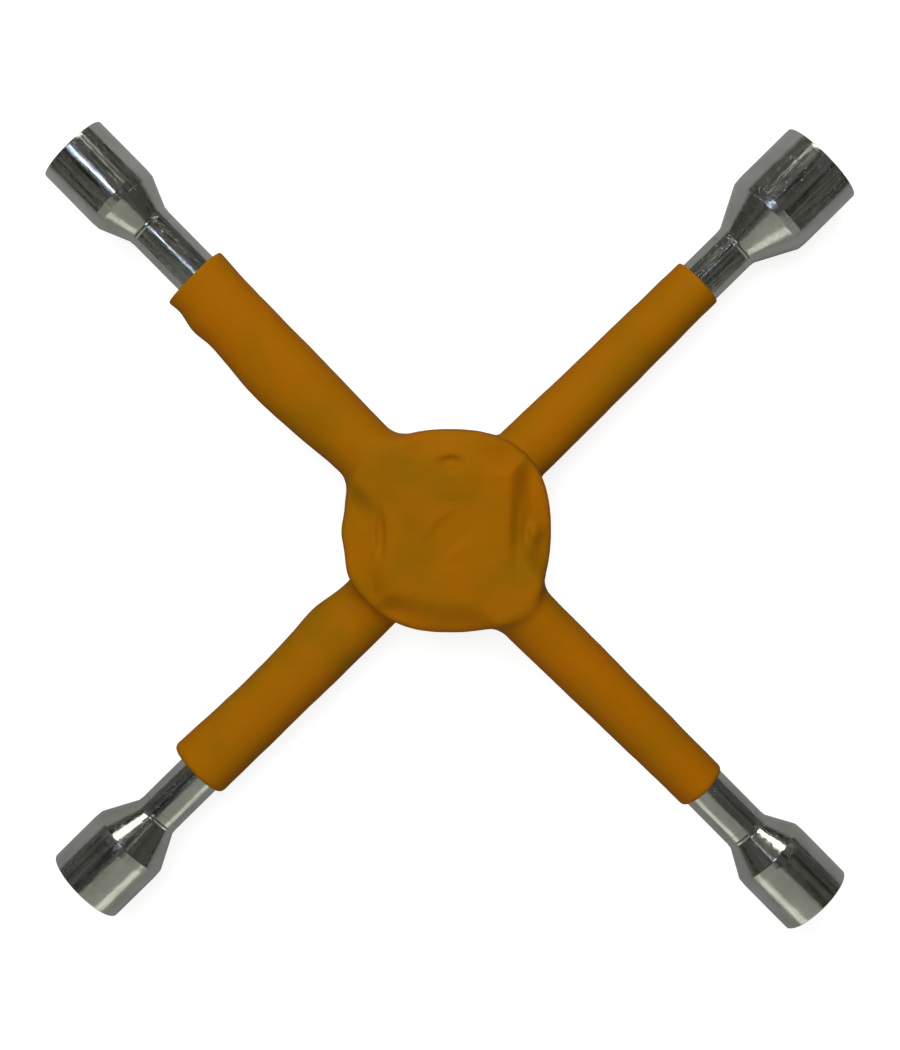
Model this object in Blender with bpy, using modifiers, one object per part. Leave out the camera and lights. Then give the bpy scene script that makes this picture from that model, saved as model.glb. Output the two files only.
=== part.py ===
"""A four-way lug wrench: two notched steel bars crossing in a riveted hub, four forged sockets, one dipped coat.

Frame: +Z up, the hub's disc level. The front bar runs along X, and the back bar along Y under it.
The origin is under the hub's centre, at the height of the wrench's lowest point. All pieces are placed from
the empty hub_centre, which is on the plane where the two hub plates meet. Lengths are in metres.
"""

import math

import bmesh
import bpy

# ---------------------------------------------------------------- driving dimensions
GAP = 0.0003                    # clearance that neighbouring pieces keep
SEGMENTS = 24                   # sides of a round piece

BAR_RADIUS = 0.008              # both bars are 16 mm round
BAR_OFFSET = 0.005              # each bar's axis lies this far from the hub's mid-plane
FRONT_REACH = 0.1795            # hub centre to the socket mouths on the front bar
BACK_REACH = 0.1775             # the same on the back bar
NECK_LENGTH = 0.004             # straight part of a socket, between its cone and its weld to the bar

HUB_RADIUS = 0.0325             # rim of the two pressed hub plates
PLATE_THICKNESS = 0.0025
BOSS_HALF_WIDTH = 0.0155        # square boss in the middle of a plate, inside, to where its walls start down
CHANNEL_HALF_WIDTH = 0.0076     # flat top of the channel over a bar, inside
WALL_RUN = 0.0062               # plan width of the sloping walls of boss and channels
CROWN = BAR_OFFSET + BAR_RADIUS + GAP               # inside height of a plate over its own bar
SADDLE = BAR_RADIUS - BAR_OFFSET + 2 * GAP          # inside height at the rim, over the other bar
BLANK_RINGS = (0.0, 0.0060, 0.0110, 0.0140, 0.0160, 0.0180, 0.0200, 0.0220, 0.0237, 0.0252, 0.0275, 0.0300)
BLANK_SEGMENTS = 72

RIVET_REACH = 0.0287            # hub centre to a rivet's axis
RIVET_SHANK_RADIUS = 0.0020
RIVET_HEAD_RADIUS = 0.0030
RIVET_HEAD_HEIGHT = 0.0010

HUB_COAT = 0.0016               # coat over the faces of the hub plates
POOL_HEADINGS = (135, 315)      # the two flanges where the coat pooled on the front face
POOL_BY_BOSS = 0.0070           # its extra thickness beside the boss
POOL_BY_RIM = 0.0035            # and at the rim
POOL_SPREAD = 45                # half its spread, in degrees
RIM_COAT = 0.0019               # coat round their rim
RIVET_SKIN = 0.0006             # coat over the rivet heads, which stand out as low bumps
COAT_HALF_HEIGHT = 0.0100       # coat on an arm, above and below the bar's axis
COAT_START = 0.016              # where an arm's coat starts inside the hub's coat
LIP_ROUND = 0.0012              # rounding of the coat's open ends

# Each arm: heading in degrees; hexagon across flats; socket radius, barrel and cone lengths; the coat's
# reach from the hub centre, its half width on the clean side, and its half widths near the hub, midway and
# at the lip on the side where the wet coat sagged.
ARMS = {
    "17mm": {"heading": 180, "hex": 0.0172, "radius": 0.0128, "barrel": 0.0252, "cone": 0.0100,
             "coat": 0.1205, "clean": 0.0099, "sag": (0.0128, 0.0149, 0.0130)},
    "19mm": {"heading": 0, "hex": 0.0192, "radius": 0.0138, "barrel": 0.0238, "cone": 0.0097,
             "coat": 0.1240, "clean": 0.0090, "sag": (0.0115, 0.0104, 0.0097)},
    "21mm": {"heading": 270, "hex": 0.0212, "radius": 0.0147, "barrel": 0.0224, "cone": 0.0119,
             "coat": 0.1214, "clean": 0.0102, "sag": (0.0126, 0.0121, 0.0128)},
    "23mm": {"heading": 90, "hex": 0.0232, "radius": 0.0158, "barrel": 0.0261, "cone": 0.0139,
             "coat": 0.1196, "clean": 0.0092, "sag": (0.0107, 0.0100, 0.0097)},
}
SAG_HEADING = 225               # the plan direction that the wet coat sagged in


# ---------------------------------------------------------------- scene, collections, materials
def clear_scene():
    for obj in list(bpy.data.objects):
        bpy.data.objects.remove(obj)


def collection(name):
    made = bpy.data.collections.new(name)
    bpy.context.scene.collection.children.link(made)
    return made


def material(name, colour, roughness, metallic):
    made = bpy.data.materials.new(name)
    made.use_nodes = True
    shader = made.node_tree.nodes["Principled BSDF"]
    shader.inputs["Base Color"].default_value = (*colour, 1.0)
    shader.inputs["Roughness"].default_value = roughness
    shader.inputs["Metallic"].default_value = metallic
    return made


# ---------------------------------------------------------------- shape helpers
def add_object(name, bm, home, finish=None):
    """Makes an object from a bmesh. A helper has no finish: it only cuts or joins, and isn't shown."""
    bmesh.ops.recalc_face_normals(bm, faces=bm.faces)
    mesh = bpy.data.meshes.new(name)
    bm.to_mesh(mesh)
    bm.free()
    obj = bpy.data.objects.new(name, mesh)
    home.objects.link(obj)
    if finish is None:
        obj.hide_render = True
        obj.display_type = "WIRE"
    else:
        mesh.materials.append(finish)
        mesh.shade_smooth()
        mesh.set_sharp_from_angle(angle=math.radians(35))
    return obj


def turned(name, profile, home, finish=None, segments=SEGMENTS):
    """Turns a profile of (radius, height) points about local Z. It runs down the outer side, from axis to axis."""
    bm = bmesh.new()
    points = [bm.verts.new((radius, 0.0, height)) for radius, height in profile]
    for first, second in zip(points, points[1:]):
        bm.edges.new((first, second))
    obj = add_object(name, bm, home, finish)
    screw = obj.modifiers.new("turn", "SCREW")
    screw.steps = segments
    screw.render_steps = segments
    screw.use_merge_vertices = True
    screw.merge_threshold = 1e-5
    return obj


def prism(name, sides, radius, length, home):
    """A regular prism about local Z, from local height 0 up to its length."""
    bm = bmesh.new()
    bmesh.ops.create_cone(bm, cap_ends=True, segments=sides, radius1=radius, radius2=radius, depth=length)
    bmesh.ops.translate(bm, verts=bm.verts, vec=(0, 0, length / 2))
    return add_object(name, bm, home)


def box(name, size, centre, home):
    bm = bmesh.new()
    bmesh.ops.create_cube(bm, size=1.0)
    bmesh.ops.scale(bm, verts=bm.verts, vec=size)
    bmesh.ops.translate(bm, verts=bm.verts, vec=centre)
    return add_object(name, bm, home)


def combine(target, tool, operation):
    modifier = target.modifiers.new(f"{operation.lower()} {tool.name}", "BOOLEAN")
    modifier.operation = operation
    modifier.object = tool


def aim(obj, arm, distance=0.0):
    """Points local Z out along an arm, at the height of its bar's axis."""
    heading = math.radians(arm["heading"])
    height = bar_height(arm)
    obj.location = (distance * math.cos(heading), distance * math.sin(heading), height)
    obj.rotation_euler = (0.0, math.pi / 2, heading)


# ---------------------------------------------------------------- facts of the arms
def on_front_bar(arm):
    return arm["heading"] % 180 == 0


def bar_height(arm):
    return BAR_OFFSET if on_front_bar(arm) else -BAR_OFFSET


def reach(arm):
    return FRONT_REACH if on_front_bar(arm) else BACK_REACH


def weld_distance(arm):
    """Hub centre to the weld between the bar and its socket."""
    return reach(arm) - arm["barrel"] - arm["cone"] - NECK_LENGTH


# ---------------------------------------------------------------- sockets
def socket(size, arm, home, cutters, finish):
    """Forged socket: barrel, rounded shoulder, cone and neck outside, hexagon and drilled floor inside."""
    radius = arm["radius"]
    rim = 0.0008
    shoulder = arm["cone"] + NECK_LENGTH
    total = shoulder + arm["barrel"]
    profile = [
        (0.0, total),
        (radius - rim, total),
        (radius - 0.3 * rim, total - 0.3 * rim),
        (radius, total - rim),
        (radius, shoulder + 0.0012),
        (radius - 0.0005, shoulder - 0.0003),
        (radius - 0.0014, shoulder - 0.0016),
        (BAR_RADIUS + 0.0013, NECK_LENGTH + 0.0022),
        (BAR_RADIUS + 0.0004, NECK_LENGTH + 0.0006),
        (BAR_RADIUS, NECK_LENGTH - 0.0012),
        (BAR_RADIUS, 0.0),
        (0.0, 0.0),
    ]
    name = f"socket_{size}"
    body = turned(name, profile, home, finish)
    aim(body, arm, weld_distance(arm))

    corner = arm["hex"] / math.sqrt(3)
    depth = arm["barrel"] - 0.0040
    floor = total - depth
    recess = prism(f"{name}_hexagon", 6, corner, depth + 0.002, cutters)
    aim(recess, arm, weld_distance(arm) + floor)

    drill = 0.42 * arm["hex"]
    bore = turned(f"{name}_drilled_floor", [
        (0.0, floor + 0.002),
        (drill, floor + 0.002),
        (drill, floor - 0.001),
        (0.0, floor - 0.001 - 0.5 * drill),
    ], cutters)
    aim(bore, arm, weld_distance(arm))

    lead_in = turned(f"{name}_lead_in", [
        (0.0, total + 0.001),
        (corner + 0.0012, total + 0.001),
        (corner + 0.0002, total),
        (corner - 0.0018, total - 0.002),
        (0.0, total - 0.002),
    ], cutters)
    aim(lead_in, arm, weld_distance(arm))
    for cutter in (recess, bore, lead_in):
        combine(body, cutter, "DIFFERENCE")


# ---------------------------------------------------------------- bars
def bar(name, near, far, home, cutters, finish):
    """Round bar between two sockets, notched in the middle so that both bars cross half sunk in each other.

    near is the arm that local Z points along."""
    top = weld_distance(near) - GAP
    bottom = -(weld_distance(far) - GAP)
    chamfer = 0.0006
    body = turned(name, [
        (0.0, top),
        (BAR_RADIUS - chamfer, top),
        (BAR_RADIUS, top - chamfer),
        (BAR_RADIUS, bottom + chamfer),
        (BAR_RADIUS - chamfer, bottom),
        (0.0, bottom),
    ], home, finish)
    aim(body, near)

    across = 4 * BAR_RADIUS
    along = 2 * (BAR_RADIUS + GAP)
    size = (along, across, across) if on_front_bar(near) else (across, along, across)
    side = -1 if on_front_bar(near) else 1
    notch = box(f"{name}_notch", size, (0, 0, side * (across / 2 - GAP / 2)), cutters)
    combine(body, notch, "DIFFERENCE")


# ---------------------------------------------------------------- pressed hub plates
def smooth(t):
    t = min(max(t, 0.0), 1.0)
    return t * t * (3 - 2 * t)


def pressed_height(along, across, grow, pool=0.0):
    """Height of a pressed plate's surface over the mid-plane, at a plan point measured along and across its own bar.

    It is the inside surface at grow 0, and further surfaces lie that much outside it. A square boss covers
    the crossing, one channel runs out over the plate's own bar and a low one over the other bar, and the four
    corners between them are flat flanges, raised by any pool of coat."""
    x, y = abs(along), abs(across)
    flange = GAP / 2 + grow + pool
    height = flange
    for top, distance, half_width in (
        (CROWN, (x + y) / math.sqrt(2), BOSS_HALF_WIDTH),
        (CROWN, y, CHANNEL_HALF_WIDTH),
        (SADDLE, x, CHANNEL_HALF_WIDTH),
    ):
        rise = smooth(1 + (half_width + grow - distance) / WALL_RUN)
        height = max(height, flange + rise * (top + grow - flange))
    return height


def pool_thickness(x, y):
    """Extra coat on the front face at a plan point: thickest beside the boss, on the two pooled flanges."""
    heading = math.degrees(math.atan2(y, x))
    outwards = smooth((math.hypot(x, y) - BOSS_HALF_WIDTH) / (HUB_RADIUS - BOSS_HALF_WIDTH))
    thickness = POOL_BY_BOSS + (POOL_BY_RIM - POOL_BY_BOSS) * outwards
    nearest = min(abs((heading - middle + 180) % 360 - 180) for middle in POOL_HEADINGS)
    return thickness * smooth(1.5 - 1.5 * nearest / POOL_SPREAD)


def front_surface(x, y, grow, pool=0.0):
    return pressed_height(x, y, grow, pool)


def back_surface(x, y, grow):
    return -pressed_height(y, x, grow)


def split_along_walls(bm):
    """Splits a blank's faces along the diagonals that run with the walls of a square boss, the same in every layer."""
    for face in [face for face in bm.faces if len(face.verts) == 4]:
        middle = face.calc_center_median()
        quarter_turn = math.degrees(math.atan2(middle.y, middle.x)) % 90
        lean = 1 if quarter_turn < 45 else -1
        mean_radius = sum(vert.co.xy.length for vert in face.verts) / 4
        ends = []
        for vert in face.verts:
            outwards = vert.co.xy.length - mean_radius
            onwards = middle.x * vert.co.y - middle.y * vert.co.x
            if lean * outwards * onwards < -1e-12:
                ends.append(vert)
        if len(ends) == 2:
            bmesh.utils.face_split(face, *ends)
    bmesh.ops.triangulate(bm, faces=bm.faces, quad_method="FIXED")


def pressed_disc(name, radius, upper, lower, home, finish=None):
    """A round blank with an upper and a lower face, each pressed to a height given by a function of x and y."""
    bm = bmesh.new()
    rings = sorted({*BLANK_RINGS, HUB_RADIUS, radius})
    upper_row = [(ring, 1.0) for ring in rings]
    lower_row = [(ring, -1.0) for ring in reversed(rings)]
    points = [bm.verts.new((ring, 0.0, face)) for ring, face in upper_row + lower_row]
    for first, second in zip(points, points[1:]):
        bm.edges.new((first, second))
    bmesh.ops.spin(bm, geom=points + bm.edges[:], cent=(0, 0, 0), axis=(0, 0, 1),
                   angle=math.tau, steps=BLANK_SEGMENTS, use_merge=True)
    bmesh.ops.remove_doubles(bm, verts=bm.verts, dist=1e-6)
    split_along_walls(bm)
    for vert in bm.verts:
        face = upper if vert.co.z > 0 else lower
        vert.co.z = face(vert.co.x, vert.co.y)
    return add_object(name, bm, home, finish)


def hub_plates(home, cutters, finish):
    front = pressed_disc("front_hub_plate", HUB_RADIUS,
                         lambda x, y: front_surface(x, y, PLATE_THICKNESS),
                         lambda x, y: front_surface(x, y, 0.0), home, finish)
    back = pressed_disc("back_hub_plate", HUB_RADIUS,
                        lambda x, y: back_surface(x, y, 0.0),
                        lambda x, y: back_surface(x, y, PLATE_THICKNESS), home, finish)
    for number, place in enumerate(rivet_places(), 1):
        hole = prism(f"rivet_hole_{number}", 16, RIVET_SHANK_RADIUS + GAP, 0.012, cutters)
        hole.location = (*place, -0.006)
        combine(front, hole, "DIFFERENCE")
        combine(back, hole, "DIFFERENCE")


# ---------------------------------------------------------------- rivets
def mirrored(profile):
    """The lower half of a profile that is the same above and below the mid-plane."""
    return [(radius, -height) for radius, height in reversed(profile)]


def rivet_places():
    """Plan positions of the rivets, one in each flange between two arms."""
    angles = [math.radians(45 + 90 * quarter) for quarter in range(4)]
    return [(RIVET_REACH * math.cos(a), RIVET_REACH * math.sin(a)) for a in angles]


def rivets(home, finish):
    seat = GAP / 2 + PLATE_THICKNESS + GAP
    top = seat + RIVET_HEAD_HEIGHT
    edge = 0.0004
    profile = [
        (0.0, top),
        (RIVET_HEAD_RADIUS - edge, top - 0.0001),
        (RIVET_HEAD_RADIUS, top - edge),
        (RIVET_HEAD_RADIUS, seat),
        (RIVET_SHANK_RADIUS, seat),
    ]
    profile += mirrored(profile)
    for number, place in enumerate(rivet_places(), 1):
        rivet = turned(f"hub_rivet_{number}", profile, home, finish, segments=16)
        rivet.location = (*place, 0.0)


# ---------------------------------------------------------------- dipped coat
def arm_coat(size, arm, cutters):
    """The coat on one arm: a loft of ellipses, wider on the side that the wet coat sagged to."""
    heading = math.radians(arm["heading"])
    side = 1 if math.sin(math.radians(SAG_HEADING) - heading) > 0 else -1
    near, middle, lip = arm["sag"]
    end = arm["coat"]
    stations = [
        (COAT_START, near, 0.0),
        (HUB_RADIUS + 0.006, near, 0.0),
        (0.5 * (HUB_RADIUS + end), middle, 0.0),
        (end - LIP_ROUND, lip, 0.0),
        (end - 0.3 * LIP_ROUND, lip, 0.3 * LIP_ROUND),
        (end, lip, LIP_ROUND),
    ]
    bm = bmesh.new()
    rings = []
    for distance, sagged, inset in stations:
        half_width = (sagged + arm["clean"]) / 2 - inset
        half_height = COAT_HALF_HEIGHT - inset
        centre = side * (sagged - arm["clean"]) / 2
        ring = []
        for step in range(SEGMENTS):
            angle = math.tau * step / SEGMENTS
            # local X is straight down and local Y is to the left of the arm's heading
            ring.append(bm.verts.new((half_height * math.cos(angle),
                                      centre + half_width * math.sin(angle), distance)))
        rings.append(ring)
    for lower, upper in zip(rings, rings[1:]):
        for step in range(SEGMENTS):
            after = (step + 1) % SEGMENTS
            bm.faces.new((lower[step], lower[after], upper[after], upper[step]))
    bm.faces.new(rings[0])
    bm.faces.new(rings[-1])
    body = add_object(f"coat_on_{size}_arm", bm, cutters)
    aim(body, arm)
    return body


def rivet_space():
    """Half height of the room that the coat leaves for a rivet and its heads."""
    return GAP / 2 + PLATE_THICKNESS + RIVET_HEAD_HEIGHT + 2 * GAP


def rivet_bump(number, place, cutters):
    """The coat's low bumps over both heads of one rivet, joined through the hub."""
    top = rivet_space() + RIVET_SKIN
    profile = [
        (0.0, top),
        (RIVET_HEAD_RADIUS - 0.0006, top),
        (RIVET_HEAD_RADIUS + 0.0007, top - 0.00025),
        (RIVET_HEAD_RADIUS + 0.0016, top - 0.0008),
    ]
    profile += mirrored(profile)
    bump = turned(f"rivet_bump_{number}", profile, cutters, segments=16)
    bump.location = (*place, 0.0)
    return bump


def grip_coat(home, cutters, finish):
    """One skin over the hub and all four arms, with the metal's own space and its clearance taken out."""
    outside = PLATE_THICKNESS + HUB_COAT
    inside = PLATE_THICKNESS + GAP
    coat = pressed_disc("grip_coat", HUB_RADIUS + RIM_COAT,
                        lambda x, y: front_surface(x, y, outside, pool_thickness(x, y)),
                        lambda x, y: back_surface(x, y, outside), home, finish)
    for size, arm in ARMS.items():
        combine(coat, arm_coat(size, arm, cutters), "UNION")
    for number, place in enumerate(rivet_places(), 1):
        combine(coat, rivet_bump(number, place, cutters), "UNION")

    hollow = pressed_disc("coat_hollow", HUB_RADIUS + GAP,
                          lambda x, y: front_surface(x, y, inside),
                          lambda x, y: back_surface(x, y, inside), cutters)
    combine(coat, hollow, "DIFFERENCE")
    for name, arm in (("front_bar_space", ARMS["17mm"]), ("back_bar_space", ARMS["21mm"])):
        length = 0.280
        space = prism(name, SEGMENTS, BAR_RADIUS + GAP, length, cutters)
        aim(space, arm, -length / 2)
        combine(coat, space, "DIFFERENCE")
    for number, place in enumerate(rivet_places(), 1):
        space = prism(f"rivet_space_{number}", 16, RIVET_HEAD_RADIUS + GAP, 2 * rivet_space(), cutters)
        space.location = (*place, -rivet_space())
        combine(coat, space, "DIFFERENCE")


# ---------------------------------------------------------------- assembly
def main():
    clear_scene()
    wrench = collection("lug_wrench")
    cutters = collection("cutters")
    chrome = material("chrome", (0.62, 0.62, 0.60), 0.12, 1.0)
    steel = material("hub_steel", (0.33, 0.33, 0.34), 0.45, 1.0)
    vinyl = material("orange_vinyl", (0.42, 0.13, 0.002), 0.55, 0.0)

    bar("front_bar", ARMS["19mm"], ARMS["17mm"], wrench, cutters, chrome)
    bar("back_bar", ARMS["23mm"], ARMS["21mm"], wrench, cutters, chrome)
    for size, arm in ARMS.items():
        socket(size, arm, wrench, cutters, chrome)
    hub_plates(wrench, cutters, steel)
    rivets(wrench, steel)
    grip_coat(wrench, cutters, vinyl)

    centre = bpy.data.objects.new("hub_centre", None)
    lowest = max(arm["radius"] - bar_height(arm) for arm in ARMS.values())
    centre.location = (0, 0, lowest)
    for piece in [*wrench.objects, *cutters.objects]:
        piece.parent = centre
    wrench.objects.link(centre)


main()
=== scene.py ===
"""Looks of the four-way lug wrench: chromed sockets and bars, and one dipped vinyl coat with its sags."""

import math

import bmesh
import bpy
import numpy as np
from mathutils import Matrix, Vector, noise

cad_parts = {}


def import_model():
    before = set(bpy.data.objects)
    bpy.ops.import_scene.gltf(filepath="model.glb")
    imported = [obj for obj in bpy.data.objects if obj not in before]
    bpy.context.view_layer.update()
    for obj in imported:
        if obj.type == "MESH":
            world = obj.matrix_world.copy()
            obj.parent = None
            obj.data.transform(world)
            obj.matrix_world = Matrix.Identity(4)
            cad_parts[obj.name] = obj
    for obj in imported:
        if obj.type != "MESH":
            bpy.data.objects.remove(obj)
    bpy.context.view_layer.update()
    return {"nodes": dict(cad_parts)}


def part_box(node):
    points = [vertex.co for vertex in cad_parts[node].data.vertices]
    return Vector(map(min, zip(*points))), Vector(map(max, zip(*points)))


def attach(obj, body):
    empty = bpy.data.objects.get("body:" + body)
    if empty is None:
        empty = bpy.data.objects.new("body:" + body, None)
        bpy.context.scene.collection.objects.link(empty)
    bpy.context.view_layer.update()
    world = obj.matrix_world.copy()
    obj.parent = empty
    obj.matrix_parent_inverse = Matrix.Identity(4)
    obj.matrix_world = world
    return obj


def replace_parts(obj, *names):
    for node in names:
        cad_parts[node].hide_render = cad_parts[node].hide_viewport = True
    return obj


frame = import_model()

MM = 0.001

# ---------------------------------------------------------------- places, read from the frame
front_low, front_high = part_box("front_bar")
back_low, back_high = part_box("back_bar")
FRONT_HEIGHT = (front_low.z + front_high.z) / 2
BACK_HEIGHT = (back_low.z + back_high.z) / 2
CENTRE = Vector((0.0, 0.0, (FRONT_HEIGHT + BACK_HEIGHT) / 2))
BAR_RADIUS = (front_high.y - front_low.y) / 2
PLATE_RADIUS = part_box("front_hub_plate")[1].x


def arm_facts(size, heading):
    """Where one arm's socket starts and ends, from the CAD socket's own box."""
    low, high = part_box(f"socket_{size}")
    out = Vector((math.cos(math.radians(heading)), math.sin(math.radians(heading)), 0.0))
    ends = sorted((low.dot(out), high.dot(out)))
    return {
        "size": size,
        "heading": math.radians(heading),
        "height": (low.z + high.z) / 2,
        "weld": ends[0],
        "mouth": ends[1],
        "radius": (high.z - low.z) / 2,
    }


ARMS = {
    "17mm": arm_facts("17mm", 180),
    "19mm": arm_facts("19mm", 0),
    "21mm": arm_facts("21mm", 270),
    "23mm": arm_facts("23mm", 90),
}
# hexagon across flats, length of the cone, softness of the coat's lip
ARMS["17mm"].update(hex=17.2 * MM, cone=10.0 * MM, lip=0.9 * MM)
ARMS["19mm"].update(hex=19.2 * MM, cone=9.7 * MM, lip=2.2 * MM)
ARMS["21mm"].update(hex=21.2 * MM, cone=11.9 * MM, lip=2.6 * MM)
ARMS["23mm"].update(hex=23.2 * MM, cone=13.9 * MM, lip=0.9 * MM)
NECK = 4.0 * MM                  # straight part of a socket, between its cone and its weld
FLOOR_LEFT = 4.0 * MM            # barrel left solid behind the recess
LEAD_IN = 2.2 * MM               # depth of the cone that leads into a hexagon
WELD_GAP = 0.01 * MM             # between a bar and its sockets
LAP_PLAY = 0.3 * MM              # along the bars, in the notches where they cross
LAP_GAP = 0.15 * MM              # from each notch's floor to the mid-plane

# Half widths of the coat in millimetres at distances from the hub centre, on the side that it sagged to
# and on the clean side. The last distance is the lip.
SAG = {
    "17mm": ((30, 12.4), (44, 12.9), (62, 14.5), (82, 15.2), (92, 14.3), (102, 13.8), (108, 14.4),
             (117, 13.1), (121, 13.4)),
    "19mm": ((30, 11.9), (44, 11.6), (84, 10.5), (124, 9.6)),
    "21mm": ((30, 11.4), (42, 11.7), (54, 13.2), (64, 12.5), (75, 12.0), (100, 12.0), (114, 12.6),
             (121.4, 12.9)),
    "23mm": ((30, 10.9), (60, 10.4), (90, 9.9), (119.6, 9.6)),
}
CLEAN = {
    "17mm": ((30, 9.5), (80, 10.0), (110, 10.3), (121, 10.9)),
    "19mm": ((30, 8.9), (124, 9.0)),
    "21mm": ((30, 10.3), (80, 10.2), (121.4, 10.0)),
    "23mm": ((30, 9.6), (75, 9.3), (119.6, 8.9)),
}
SAG_HEADING = math.radians(225)
COAT_HALF_HEIGHT = 9.8           # millimetres, above and below a bar's axis
SHOULDER = 1.7                   # extra height where the upper bar's coat runs up on to the hub
SHOULDER_END, SHOULDER_RUN = 54.0, 22.0
ARM_START = 8.0                  # the arms' forms start this far out, inside the hub
VOXEL = 0.65 * MM


# ---------------------------------------------------------------- mesh helpers
def add_mesh(name, verts, faces):
    mesh = bpy.data.meshes.new(name)
    mesh.from_pydata([tuple(v) for v in verts], [], faces)
    mesh.update()
    obj = bpy.data.objects.new(name, mesh)
    bpy.context.scene.collection.objects.link(obj)
    return obj


def rings_to_mesh(name, rings, material):
    """Joins rings of equal length, each with its first point in line; a ring of one point closes an end."""
    verts, faces, starts = [], [], []
    for ring in rings:
        starts.append(len(verts))
        verts.extend(ring)
    for i in range(len(rings) - 1):
        a, b, first, second = rings[i], rings[i + 1], starts[i], starts[i + 1]
        count = max(len(a), len(b))
        for k in range(count):
            after = (k + 1) % count
            if len(a) == 1:
                faces.append((first, second + after, second + k))
            elif len(b) == 1:
                faces.append((first + k, first + after, second))
            else:
                faces.append((first + k, first + after, second + after, second + k))
    obj = add_mesh(name, verts, faces)
    bm = bmesh.new()
    bm.from_mesh(obj.data)
    bmesh.ops.recalc_face_normals(bm, faces=bm.faces)
    bm.to_mesh(obj.data)
    bm.free()
    obj.data.shade_smooth()
    obj.data.materials.append(material)
    return obj


def along_arm(obj, arm, distance):
    """Puts an object's local Z along an arm, starting at a distance from the hub centre."""
    out = Vector((math.cos(arm["heading"]), math.sin(arm["heading"]), 0.0))
    turn = Matrix.Rotation(arm["heading"], 4, "Z") @ Matrix.Rotation(math.pi / 2, 4, "Y")
    obj.matrix_world = Matrix.Translation(out * distance + Vector((0, 0, arm["height"]))) @ turn


def circle(radius, height, count):
    steps = [math.tau * k / count for k in range(count)]
    return [(radius * math.cos(a), radius * math.sin(a), height) for a in steps]


def fillet(profile, radii, steps=6):
    """Rounds the corners of a (radius, height) profile with arcs; radii gives one for each inner point."""
    out = [profile[0]]
    for i in range(1, len(profile) - 1):
        here = Vector(profile[i])
        before = (Vector(profile[i - 1]) - here).normalized()
        after = (Vector(profile[i + 1]) - here).normalized()
        angle = before.angle(after)
        radius = radii[i - 1]
        if radius <= 0 or angle > math.radians(179):
            out.append(profile[i])
            continue
        reach = radius / math.tan(angle / 2)
        middle = here + (before + after).normalized() * (radius / math.sin(angle / 2))
        first = here + before * reach - middle
        last = here + after * reach - middle
        for k in range(steps + 1):
            out.append(tuple(middle + first.slerp(last, k / steps) * radius))
    out.append(profile[-1])
    return out


# ---------------------------------------------------------------- materials
def new_material(name):
    made = bpy.data.materials.new(name)
    made.use_nodes = True
    tree = made.node_tree
    return made, tree, tree.nodes["Principled BSDF"]


def ramp(tree, source, stops):
    made = tree.nodes.new("ShaderNodeValToRGB")
    elements = made.color_ramp.elements
    while len(elements) < len(stops):
        elements.new(0.5)
    for element, (place, colour) in zip(elements, stops):
        element.position = place
        element.color = (*colour, 1.0) if len(colour) == 3 else colour
    tree.links.new(source, made.inputs["Fac"])
    return made.outputs["Color"]


def grey(value):
    return (value, value, value)


def noise_of(tree, vector, scale, detail=3.0, roughness=0.5, distortion=0.0):
    made = tree.nodes.new("ShaderNodeTexNoise")
    made.inputs["Scale"].default_value = scale
    made.inputs["Detail"].default_value = detail
    made.inputs["Roughness"].default_value = roughness
    made.inputs["Distortion"].default_value = distortion
    tree.links.new(vector, made.inputs["Vector"])
    return made.outputs["Fac"]


def bump_of(tree, height, distance, strength, normal=None):
    made = tree.nodes.new("ShaderNodeBump")
    made.inputs["Distance"].default_value = distance
    made.inputs["Strength"].default_value = strength
    tree.links.new(height, made.inputs["Height"])
    if normal is not None:
        tree.links.new(normal, made.inputs["Normal"])
    return made.outputs["Normal"]


def maths(tree, operation, first, second=0.0):
    """A Math node's output. Its inputs are numbers or other nodes' outputs."""
    made = tree.nodes.new("ShaderNodeMath")
    made.operation = operation
    for socket, value in zip(made.inputs, (first, second)):
        if isinstance(value, (int, float)):
            socket.default_value = value
        else:
            tree.links.new(value, socket)
    return made.outputs[0]


def mixed(tree, factor, first, second):
    """A Mix node's output. first and second are RGBA colours or other nodes' outputs."""
    made = tree.nodes.new("ShaderNodeMix")
    made.data_type = "RGBA"
    tree.links.new(factor, made.inputs["Factor"])
    for name, value in (("A", first), ("B", second)):
        if isinstance(value, tuple):
            made.inputs[name].default_value = value
        else:
            tree.links.new(value, made.inputs[name])
    return made.outputs["Result"]


def stretched(tree, vector, scale):
    made = tree.nodes.new("ShaderNodeMapping")
    made.inputs["Scale"].default_value = scale
    tree.links.new(vector, made.inputs["Vector"])
    return made.outputs["Vector"]


def chrome_material():
    """Bright plating over a forged and only partly polished surface."""
    made, tree, shader = new_material("chrome_plating")
    place = tree.nodes.new("ShaderNodeTexCoord").outputs["Object"]
    drawn = stretched(tree, place, (1.0, 1.0, 0.06))
    streaks = noise_of(tree, drawn, 1400, detail=4)
    forged = noise_of(tree, place, 260, detail=3)
    pits = noise_of(tree, place, 1900, detail=2)
    shader.inputs["Metallic"].default_value = 1.0
    cloud = noise_of(tree, place, 90, detail=4)
    tree.links.new(ramp(tree, cloud, [(0.35, (0.50, 0.50, 0.46)), (0.65, (0.60, 0.60, 0.57))]),
                   shader.inputs["Base Color"])
    tree.links.new(ramp(tree, streaks, [(0.35, grey(0.10)), (0.62, grey(0.26))]), shader.inputs["Roughness"])
    first = bump_of(tree, forged, 0.00022, 0.35)
    second = bump_of(tree, streaks, 0.00002, 0.35, first)
    third = bump_of(tree, ramp(tree, pits, [(0.24, grey(0.0)), (0.34, grey(1.0))]), 0.00006, 0.6, second)
    tree.links.new(third, shader.inputs["Normal"])
    return made


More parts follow.
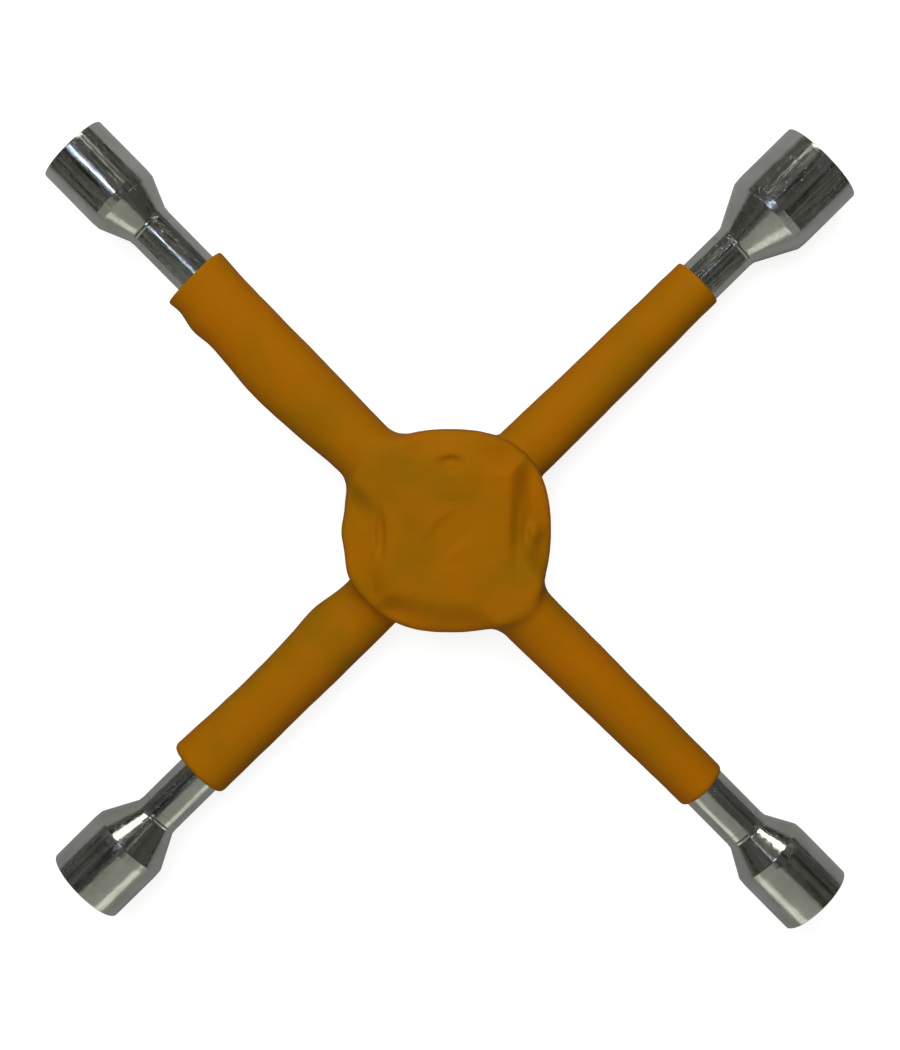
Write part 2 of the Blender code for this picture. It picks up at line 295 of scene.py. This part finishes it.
def steel_material():
    """Bare pressed sheet, under the coat."""
    made, tree, shader = new_material("bare_pressed_steel")
    place = tree.nodes.new("ShaderNodeTexCoord").outputs["Object"]
    rolled = noise_of(tree, stretched(tree, place, (1.0, 0.05, 1.0)), 1200, detail=4)
    cloud = noise_of(tree, place, 160, detail=4)
    shader.inputs["Metallic"].default_value = 1.0
    tree.links.new(ramp(tree, cloud, [(0.3, (0.24, 0.23, 0.23)), (0.7, (0.40, 0.40, 0.41))]),
                   shader.inputs["Base Color"])
    tree.links.new(ramp(tree, rolled, [(0.3, grey(0.34)), (0.7, grey(0.52))]), shader.inputs["Roughness"])
    tree.links.new(bump_of(tree, rolled, 0.00003, 0.5), shader.inputs["Normal"])
    return made


def vinyl_material():
    """Soft orange vinyl, dipped: satin, slightly uneven in colour at random, greener in its darker patches.
    """
    made, tree, shader = new_material("orange_dipped_vinyl")
    place = tree.nodes.new("ShaderNodeTexCoord").outputs["Object"]
    cloud = noise_of(tree, place, 26, detail=3, roughness=0.55, distortion=0.4)
    fine = noise_of(tree, place, 700, detail=4)
    waves = noise_of(tree, place, 120, detail=2)
    tree.links.new(
        ramp(tree, cloud, [(0.30, (0.250, 0.112, 0.0006)), (0.48, (0.325, 0.118, 0.0005)),
                           (0.70, (0.375, 0.117, 0.0004))]),
        shader.inputs["Base Color"])
    tree.links.new(ramp(tree, waves, [(0.3, grey(0.56)), (0.7, grey(0.68))]), shader.inputs["Roughness"])
    shader.inputs["Specular IOR Level"].default_value = 0.05
    soft = bump_of(tree, waves, 0.0002, 0.25)
    tree.links.new(bump_of(tree, fine, 0.00003, 0.35, soft), shader.inputs["Normal"])
    return made


# ---------------------------------------------------------------- sockets
ROUND = 144      # points round a socket; a multiple of 12 puts the hexagon's corners on points


def hexagon_radius(angle, flats, corner_round=0.05):
    """Distance from the axis to a hexagon whose first corner is at angle 0 from local Y."""
    local = (angle - math.pi / 2) % (math.pi / 3) - math.pi / 6
    sharp = flats / 2 / math.cos(local)
    blunt = flats / 2 / math.cos(math.pi / 6) * (1 - corner_round * 0.35)
    return min(sharp, blunt)


def socket_piece(arm, chrome):
    """One forged socket, turned outside, with a hexagon recess, its lead-in and its drilled floor inside."""
    radius, total = arm["radius"], arm["mouth"] - arm["weld"]
    shoulder = arm["cone"] + NECK
    outside = [
        (0.0, 0.0),
        (BAR_RADIUS, 0.0),
        (BAR_RADIUS, NECK - 1.6 * MM),
        (BAR_RADIUS + 0.15 * MM, NECK - 1.0 * MM),
        (BAR_RADIUS + 0.08 * MM, NECK - 0.2 * MM),
        (radius - 0.25 * MM, shoulder + 0.2 * MM),
        (radius, shoulder + 3.2 * MM),
        (radius - 0.02 * MM, total - 1.2 * MM),
        (radius - 0.05 * MM, total),
        (radius - 2.0 * MM, total),
    ]
    radii = [mm * MM for mm in (0.0, 0.9, 0.5, 2.0, 1.6, 4.0, 2.0, 0.35)]
    rounded = fillet(outside, radii, steps=8)
    mouth = arm["hex"] / math.sqrt(3) + 0.6 * MM
    rings = [[(0.0, 0.0, 0.0)]]
    rings += [circle(r, z, ROUND) for r, z in rounded[1:]]
    rings.append(circle(mouth + 0.25 * MM, total, ROUND))
    depth = arm["mouth"] - arm["weld"] - shoulder - FLOOR_LEFT
    angles = [math.tau * k / ROUND for k in range(ROUND)]

    def recess(depth_here, cone_radius):
        ring = []
        for angle in angles:
            wall = max(hexagon_radius(angle, arm["hex"]), cone_radius)
            ring.append((wall * math.cos(angle), wall * math.sin(angle), total - depth_here))
        return ring

    steps = 12
    for k in range(steps + 1):
        here = LEAD_IN * k / steps
        rings.append(recess(here + 0.06 * MM * (k == 0), mouth - here))
    rings.append(recess(depth * 0.5, 0.0))
    rings.append(recess(depth, 0.0))
    drill = 0.42 * arm["hex"]
    rings.append(circle(drill, total - depth, ROUND))
    rings.append(circle(drill - 0.1 * MM, total - depth - 1.0 * MM, ROUND))
    rings.append([(0.0, 0.0, total - depth - 1.0 * MM - 0.5 * drill)])
    piece = rings_to_mesh(f"forged_socket_{arm['size']}", rings, chrome)
    piece.data.set_sharp_from_angle(angle=math.radians(32))
    along_arm(piece, arm, arm["weld"])
    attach(piece, "root")
    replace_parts(piece, f"socket_{arm['size']}")
    return piece


# ---------------------------------------------------------------- bars
def bar_piece(name, near, far, chrome):
    """Round bar with chamfered ends and, in the middle, its half of the cross lap."""
    top = near["weld"] - WELD_GAP
    bottom = -(far["weld"] - WELD_GAP)
    chamfer = 0.1 * MM
    half_notch = BAR_RADIUS + LAP_PLAY
    floor = (CENTRE.z - near["height"]) + math.copysign(LAP_GAP, near["height"] - CENTRE.z)
    stations = [bottom + chamfer]
    stations += [bottom + chamfer + (-half_notch - bottom - chamfer) * k / 40 for k in range(1, 41)]
    stations += [-half_notch + 2 * half_notch * k / 12 for k in range(1, 13)]
    stations += [half_notch + (top - chamfer - half_notch) * k / 40 for k in range(1, 41)]
    rings = [[(0.0, 0.0, bottom)], circle(BAR_RADIUS - chamfer, bottom, 96)]
    for z in stations:
        ring = circle(BAR_RADIUS, z, 96)
        if abs(z) < half_notch - 1e-6:
            # local X points down, so the lap's flat caps it
            if near["height"] > CENTRE.z:
                ring = [(min(x, -floor), y, z) for x, y, z in ring]
            else:
                ring = [(max(x, -floor), y, z) for x, y, z in ring]
        rings.append(ring)
    rings += [circle(BAR_RADIUS - chamfer, top, 96), [(0.0, 0.0, top)]]
    piece = rings_to_mesh(name, rings, chrome)
    piece.data.set_sharp_from_angle(angle=math.radians(32))
    along_arm(piece, near, 0.0)
    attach(piece, "root")
    return piece


# ---------------------------------------------------------------- the coat's form
# All lengths from here to the coat's mesh are in millimetres, from the hub centre.
def smooth_step(t):
    t = np.clip(t, 0.0, 1.0)
    return t * t * (3 - 2 * t)


def smooth_max(a, b, k):
    h = np.clip(0.5 + 0.5 * (a - b) / k, 0.0, 1.0)
    return b + (a - b) * h + k * h * (1 - h)


def smooth_min(a, b, k):
    return -smooth_max(-a, -b, k)


def curve_through(points, at):
    """A smooth curve through (distance, value) points, level beyond both ends."""
    x = np.array([p[0] for p in points], float)
    y = np.array([p[1] for p in points], float)
    slope = np.gradient(y, x)
    slope[0] = slope[-1] = 0.0
    at = np.clip(at, x[0], x[-1])
    i = np.clip(np.searchsorted(x, at) - 1, 0, len(x) - 2)
    step = x[i + 1] - x[i]
    t = (at - x[i]) / step
    return ((1 + 2 * t) * (1 - t) ** 2 * y[i] + t * (1 - t) ** 2 * step * slope[i]
            + t * t * (3 - 2 * t) * y[i + 1] + t * t * (t - 1) * step * slope[i + 1])


def arm_axes(arm):
    """Unit vectors out along an arm and to the side that its coat sagged to."""
    out = np.array((math.cos(arm["heading"]), math.sin(arm["heading"])))
    side = np.array((-out[1], out[0]))
    down = np.array((math.cos(SAG_HEADING), math.sin(SAG_HEADING)))
    return out, side * np.sign(side @ down)


def up_side(arm):
    """1 for an arm of the upper bar, -1 for one of the lower bar."""
    return math.copysign(1.0, arm["height"] - CENTRE.z)


def arm_form(points, arm):
    """Signed distance, near enough, to the coat on one arm: an ellipse whose widths vary along the arm."""
    out, side = arm_axes(arm)
    along = points[:, :2] @ out
    across = points[:, :2] @ side
    up = points[:, 2] - (arm["height"] - CENTRE.z) / MM
    sagged = curve_through(SAG[arm["size"]], along)
    clean = curve_through(CLEAN[arm["size"]], along)
    width = np.where(across > 0, sagged, clean)
    upper = SHOULDER if up_side(arm) > 0 else 0.0
    height = COAT_HALF_HEIGHT + upper * smooth_step((SHOULDER_END - along) / SHOULDER_RUN)
    k1 = np.sqrt((across / width) ** 2 + (up / height) ** 2) + 1e-9
    k2 = np.sqrt((across / width ** 2) ** 2 + (up / height ** 2) ** 2) + 1e-9
    skin = k1 * (k1 - 1) / k2
    lip = SAG[arm["size"]][-1][0]
    return smooth_max(smooth_max(skin, along - lip, arm["lip"] / MM), ARM_START - along, 1.0)


# low places at the foot of the boss and swellings over the rivets: heading, distance, radial and
# sideways spread, height, all in millimetres but the heading
DIMPLES = (
    (135, 23.7, 1.4, 2.9, -3.2),
    (45, 22.4, 1.6, 8.0, -1.5),
    (45, 25.4, 1.0, 3.0, -1.4),
    (225, 23.4, 0.9, 4.4, -2.4),
    (45, 28.4, 1.7, 2.3, 2.3),
    (225, 29.6, 2.4, 3.2, 0.6),
)


# heights of a coated plate over the mid-plane: flange, crossing and its own bar, the other bar
FLANGE, CROWN, SADDLE = 4.35, 17.4, 8.1
BOSS_HALF, CHANNEL_HALF = 23.4, 13.6       # hub centre to the middle of the walls
BOSS_WALL, CHANNEL_WALL = 9.0, 7.0         # plan width of the walls
RIM_COAT = 1.7                             # coat round the plates' rim, at the flanges
RIM_BY_ARMS = 2.2                          # and as much more beside the arms
# the coat lies thicker on the front flanges: heading, thickness by the boss and at the rim, spread in radians
POOLS = ((135, 12.2, 8.8, 0.70), (315, 12.4, 8.2, 0.80), (225, 9.8, 7.6, 0.58), (45, 8.0, 5.0, 0.55))


def pooled(x, y):
    """Extra coat on the front face, where it pooled on a flange and made the boss's wall a gentle slope.

    It fades out over the boss, where the pools of the four flanges would meet."""
    radius = np.sqrt(x * x + y * y + 1e-9)
    outwards = smooth_step((radius - 22.0) / 12.0)
    total = np.zeros_like(x)
    for heading, by_boss, by_rim, spread in POOLS:
        turn = np.arctan2(y, x) - math.radians(heading)
        turn = (turn + math.pi) % math.tau - math.pi
        total += (by_boss + (by_rim - by_boss) * outwards) * np.exp(-0.5 * np.abs(turn / spread) ** 3)
    return total * smooth_step(radius / 14.0)


def hub_height(along, across, extra=0.0):
    """Height of the coated hub plate over the mid-plane, as its own bar's channel runs along.

    The crossing and its own channel are one level top with a soft wall round it."""
    x = np.sqrt(along ** 2 + 0.5)
    y = np.sqrt(across ** 2 + 0.5)
    low = FLANGE + extra
    inside = smooth_max(BOSS_HALF - (x + y) / math.sqrt(2), CHANNEL_HALF - y, 5.0)
    main = low + (CROWN - low) * smooth_step(0.5 + inside / BOSS_WALL)
    saddle = np.maximum(SADDLE, low)
    other = low + (saddle - low) * smooth_step(0.5 + (CHANNEL_HALF - x) / CHANNEL_WALL)
    return smooth_max(main, other, 4.0)


def dimples(x, y):
    """Height added by the dents and swellings."""
    total = np.zeros_like(x)
    for heading, distance, radial, sideways, height in DIMPLES:
        out = np.array((math.cos(math.radians(heading)), math.sin(math.radians(heading))))
        far = x * out[0] + y * out[1] - distance
        aside = -x * out[1] + y * out[0]
        total += height * np.exp(-0.5 * (far / radial) ** 2 - 0.5 * (aside / sideways) ** 2)
    return total


def hub_rim(x, y):
    """Radius of the coat round the plates' rim, fuller on the side that it sagged to, with a drip there."""
    angle = np.arctan2(y, x) - SAG_HEADING
    angle = (angle + math.pi) % math.tau - math.pi
    drip = 1.2 * np.exp(-0.5 * (angle / 0.11) ** 2) + 1.2 * np.exp(-0.5 * (angle / 0.5) ** 2)
    drip += 1.3 * np.exp(-0.5 * ((np.abs(angle) - 0.42) / 0.16) ** 2)
    by_arms = RIM_BY_ARMS * np.cos(2 * np.arctan2(y, x)) ** 2
    return PLATE_RADIUS / MM + RIM_COAT + drip + by_arms


def hub_form(points):
    """Signed distance, near enough, to the coat on the hub: two pressed faces inside a round rim."""
    x, y, z = points.T
    step = 0.25

    def face(px, py, front):
        along, across = (px, py) if front else (py, px)
        if front:
            return hub_height(along, across, pooled(px, py)) + dimples(px, py)
        return hub_height(along, across) + 0.5 * dimples(px, py)

    sides = []
    for front, sign in ((True, 1.0), (False, -1.0)):
        here = face(x, y, front)
        slope_x = (face(x + step, y, front) - here) / step
        slope_y = (face(x, y + step, front) - here) / step
        sides.append((sign * z - here) / np.sqrt(1 + slope_x ** 2 + slope_y ** 2))
    faces = smooth_max(sides[0], sides[1], 0.5)
    radial = np.sqrt(x * x + y * y + 1e-9) - hub_rim(x, y)
    return smooth_max(faces, radial, 3.2)


def coat_form(points):
    """Hub and arms joined. The upper bar's arms run softly into the hub; the lower bar's leave a crease."""
    total = hub_form(points)
    for size, arm in ARMS.items():
        blend = 5.5 if up_side(arm) > 0 else 1.6
        total = smooth_min(total, arm_form(points, arm), blend)
    return total


def gradient_of(form, points, step=0.05):
    out = np.empty_like(points)
    for axis in range(3):
        shift = np.zeros(3)
        shift[axis] = step
        out[:, axis] = (form(points + shift) - form(points - shift)) / (2 * step)
    return out


# ---------------------------------------------------------------- the coat's mesh
TURNS, RELAXED_TURNS = 9, 7      # turns of drawing the mesh on to its form, the first ones with relaxing
LONGEST_MOVE = 0.8               # of a point in one turn, in millimetres


def rough_coat():
    """Overlapping closed blocks close to the coat's form, for the remesh to join."""
    bm = bmesh.new()
    rings = [0.8 * k for k in range(1, 44)]
    segments = 180
    layers = []
    for sign in (1.0, -1.0):
        made = []
        for radius in rings:
            angles = np.arange(segments) * math.tau / segments
            x, y = radius * np.cos(angles), radius * np.sin(angles)
            z = hub_height(x, y, pooled(x, y)) if sign > 0 else -hub_height(y, x)
            made.append([bm.verts.new((a * MM, b * MM, c * MM)) for a, b, c in zip(x, y, z)])
        centre = bm.verts.new((0, 0, sign * float(hub_height(np.zeros(1), np.zeros(1))[0]) * MM))
        for k in range(segments):
            bm.faces.new((centre, made[0][k], made[0][(k + 1) % segments]))
        for inner, outer in zip(made, made[1:]):
            for k in range(segments):
                after = (k + 1) % segments
                bm.faces.new((inner[k], outer[k], outer[after], inner[after]))
        layers.append(made[-1])
    for k in range(segments):
        after = (k + 1) % segments
        bm.faces.new((layers[0][k], layers[1][k], layers[1][after], layers[0][after]))
    for size, arm in ARMS.items():
        out, side = arm_axes(arm)
        previous = None
        lip = SAG[size][-1][0]
        for distance in np.append(np.arange(ARM_START, lip, 1.5), lip):
            sagged = float(curve_through(SAG[size], np.array([distance]))[0])
            clean = float(curve_through(CLEAN[size], np.array([distance]))[0])
            ring = []
            for k in range(64):
                angle = math.tau * k / 64
                across = math.cos(angle) * (sagged if math.cos(angle) > 0 else clean)
                up = COAT_HALF_HEIGHT * math.sin(angle)
                flat = out * distance + side * across
                height = (arm["height"] - CENTRE.z) / MM + up
                ring.append(bm.verts.new((flat[0] * MM, flat[1] * MM, height * MM)))
            if previous is None:
                bm.faces.new(ring)
            else:
                for k in range(64):
                    after = (k + 1) % 64
                    bm.faces.new((previous[k], previous[after], ring[after], ring[k]))
            previous = ring
        bm.faces.new(previous)
    bmesh.ops.recalc_face_normals(bm, faces=bm.faces)
    mesh = bpy.data.meshes.new("rough_coat")
    bm.to_mesh(mesh)
    bm.free()
    obj = bpy.data.objects.new("rough_coat", mesh)
    bpy.context.scene.collection.objects.link(obj)
    return obj


def applied(obj):
    """The object's evaluated mesh, with the object itself removed."""
    graph = bpy.context.evaluated_depsgraph_get()
    mesh = bpy.data.meshes.new_from_object(obj.evaluated_get(graph))
    bpy.data.objects.remove(obj)
    return mesh


def mesh_points(mesh):
    flat = np.empty(len(mesh.vertices) * 3, np.float32)
    mesh.vertices.foreach_get("co", flat)
    return flat.reshape(-1, 3).astype(float)


def set_points(mesh, points):
    mesh.vertices.foreach_set("co", points.astype(np.float32).ravel())
    mesh.update()


def neighbour_mean(points, edges, degree):
    total = np.zeros_like(points)
    np.add.at(total, edges[:, 0], points[edges[:, 1]])
    np.add.at(total, edges[:, 1], points[edges[:, 0]])
    return total / degree[:, None]


def coat_piece(vinyl):
    """The whole dipped coat as one fine skin: remeshed, then drawn on to the coat's form."""
    rough = rough_coat()
    remesh = rough.modifiers.new("join", "REMESH")
    remesh.mode = "VOXEL"
    remesh.voxel_size = VOXEL
    mesh = applied(rough)
    points = mesh_points(mesh) / MM
    edges = np.empty(len(mesh.edges) * 2, np.int32)
    mesh.edges.foreach_get("vertices", edges)
    edges = edges.reshape(-1, 2)
    degree = np.bincount(edges.ravel(), minlength=len(points)).astype(float)
    for turn in range(TURNS):
        if turn < RELAXED_TURNS:
            points += 0.5 * (neighbour_mean(points, edges, degree) - points)
        value = coat_form(points)
        slope = gradient_of(coat_form, points)
        size = np.maximum((slope ** 2).sum(axis=1), 0.05)
        move = slope * (value / size)[:, None]
        length = np.linalg.norm(move, axis=1)
        move *= (np.minimum(length, LONGEST_MOVE) / np.maximum(length, 1e-9))[:, None]
        points -= move
    slope = gradient_of(coat_form, points)
    normal = slope / np.linalg.norm(slope, axis=1)[:, None]
    wave = np.array([
        noise.noise(Vector(p) / 11.0) * 0.16 + noise.noise(Vector(p) / 4.2) * 0.05
        for p in points
    ])
    points += normal * wave[:, None]
    set_points(mesh, points * MM)
    mesh.materials.clear()
    mesh.materials.append(vinyl)
    mesh.shade_smooth()
    coat = bpy.data.objects.new("dipped_grip_coat", mesh)
    bpy.context.scene.collection.objects.link(coat)
    coat.location = CENTRE
    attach(coat, "root")
    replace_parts(coat, "grip_coat")
    return coat


# ---------------------------------------------------------------- stage, lights, camera
FLOOR_HALF = 3.0
FLOOR_HEIGHT = -0.0002           # just under the lowest socket
FLOOR_GLOW = 0.84
WALL_GREY = (0.36, 0.37, 0.325, 1.0)
BACKDROP = (0.93, 0.93, 0.93, 1.0)


def floor_piece():
    """A pale floor. It glows enough to look white, and throws little light back at the wrench."""
    made, tree, shader = new_material("pale_floor")
    place = tree.nodes.new("ShaderNodeTexCoord").outputs["Object"]
    cloud = noise_of(tree, place, 9, detail=2)
    tree.links.new(ramp(tree, cloud, [(0.3, grey(0.34)), (0.7, grey(0.36))]), shader.inputs["Base Color"])
    shader.inputs["Roughness"].default_value = 0.9
    shader.inputs["Specular IOR Level"].default_value = 0.1
    shader.inputs["Emission Color"].default_value = (1.0, 1.0, 1.0, 1.0)
    seen = tree.nodes.new("ShaderNodeLightPath").outputs["Is Camera Ray"]
    tree.links.new(maths(tree, "MULTIPLY", seen, FLOOR_GLOW), shader.inputs["Emission Strength"])
    signs = ((-1, -1), (1, -1), (1, 1), (-1, 1))
    corners = [(x * FLOOR_HALF, y * FLOOR_HALF, FLOOR_HEIGHT) for x, y in signs]
    floor = add_mesh("floor", corners, [(0, 1, 2, 3)])
    floor.data.materials.append(made)


# the picture's right and up, as directions on the floor
RIGHT = Vector((1, 1, 0)).normalized()
UP = Vector((-1, 1, 0)).normalized()


def on_stage(right, up, height):
    return CENTRE + RIGHT * right + UP * up + Vector((0, 0, height))


def area_light(name, place, target, size, power, colour=(1, 1, 1), glossy=True):
    data = bpy.data.lights.new(name, "AREA")
    data.shape = "RECTANGLE"
    data.size, data.size_y = size
    data.energy = power
    data.color = colour
    light = bpy.data.objects.new(name, data)
    light.location = place
    light.rotation_mode = "QUATERNION"
    light.rotation_quaternion = (target - place).to_track_quat("-Z", "Y")
    light.visible_glossy = glossy
    bpy.context.scene.collection.objects.link(light)


def lights():
    hub = CENTRE.copy()
    area_light("overhead", on_stage(-0.25, 0.65, 1.4), hub, (1.1, 1.1), 19.0, glossy=False)
    area_light("window", on_stage(0.0, 1.0, 0.72), hub, (0.42, 0.22), 3.2, (1.0, 1.0, 0.88))
    area_light("ceiling_lamp", on_stage(-0.34, 0.34, 1.45), hub, (0.15, 0.34), 1.2, (0.64, 0.77, 1.0))
    area_light("pale_strip", on_stage(0.0, -1.3, 0.42), hub, (1.6, 0.5), 1.7, (0.98, 1.0, 0.90))
    area_light("left_slit", on_stage(-0.75, 0.55, 0.8), hub, (0.035, 0.8), 0.2)
    area_light("right_slit", on_stage(0.8, 0.55, 0.75), hub, (0.035, 0.8), 0.2)


def world():
    """A dim room: dark and uneven all round, with one broad grey wall towards the picture's bottom."""
    made = bpy.data.worlds.new("studio")
    made.use_nodes = True
    tree = made.node_tree
    direction = tree.nodes.new("ShaderNodeTexCoord").outputs["Generated"]

    def along(axis):
        dot = tree.nodes.new("ShaderNodeVectorMath")
        dot.operation = "DOT_PRODUCT"
        dot.inputs[1].default_value = axis
        tree.links.new(direction, dot.inputs[0])
        return dot.outputs["Value"]

    down = along(-UP)
    aside = maths(tree, "ABSOLUTE", along(RIGHT))
    inside_sides = maths(tree, "SUBTRACT", maths(tree, "MULTIPLY", down, 1.25), aside)
    nearest_edge = maths(tree, "MINIMUM", maths(tree, "SUBTRACT", down, 0.17), inside_sides)
    on_wall = ramp(tree, nearest_edge, [(0.0, grey(0.0)), (0.07, grey(1.0))])
    patches = noise_of(tree, direction, 5.0, detail=5, roughness=0.6)
    room = ramp(tree, patches, [(0.40, (0.012, 0.012, 0.010)), (0.49, (0.048, 0.050, 0.043)),
                                (0.54, (0.180, 0.185, 0.165)), (0.60, (0.030, 0.031, 0.027))])
    lit = mixed(tree, on_wall, room, WALL_GREY)
    seen = tree.nodes.new("ShaderNodeLightPath").outputs["Is Camera Ray"]
    tree.links.new(mixed(tree, seen, lit, BACKDROP), tree.nodes["Background"].inputs["Color"])
    bpy.context.scene.world = made


def camera():
    """Looks down on the hub from 0.72 m, leaning a little towards the picture's top."""
    lean, swing, roll = math.radians(4.59), math.radians(0.76), math.radians(-0.44)
    distance = 0.7204
    axes = Matrix((RIGHT, UP, (0, 0, 1))).transposed()
    turn = Matrix.Rotation(lean, 3, "X") @ Matrix.Rotation(swing, 3, "Y") @ Matrix.Rotation(roll, 3, "Z")
    facing = axes @ turn.transposed()
    data = bpy.data.cameras.new("camera")
    data.sensor_width = 36.0
    data.lens = 72.28
    data.shift_x = 0.0002
    data.shift_y = 0.0039
    made = bpy.data.objects.new("camera", data)
    made.matrix_world = Matrix.Translation(CENTRE + facing @ Vector((0, 0, distance))) @ facing.to_4x4()
    bpy.context.scene.collection.objects.link(made)
    bpy.context.scene.camera = made


def main():
    scene = bpy.context.scene
    scene.view_settings.view_transform = "Standard"
    camera()
    world()
    lights()
    floor_piece()
    chrome, steel, vinyl = chrome_material(), steel_material(), vinyl_material()
    for name in ("front_hub_plate", "back_hub_plate", *(f"hub_rivet_{k}" for k in range(1, 5))):
        plain = frame["nodes"][name]
        plain.data.materials.clear()
        plain.data.materials.append(steel)
    for arm in ARMS.values():
        socket_piece(arm, chrome)
    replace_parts(bar_piece("chromed_front_bar", ARMS["19mm"], ARMS["17mm"], chrome), "front_bar")
    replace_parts(bar_piece("chromed_back_bar", ARMS["23mm"], ARMS["21mm"], chrome), "back_bar")
    coat_piece(vinyl)


main()
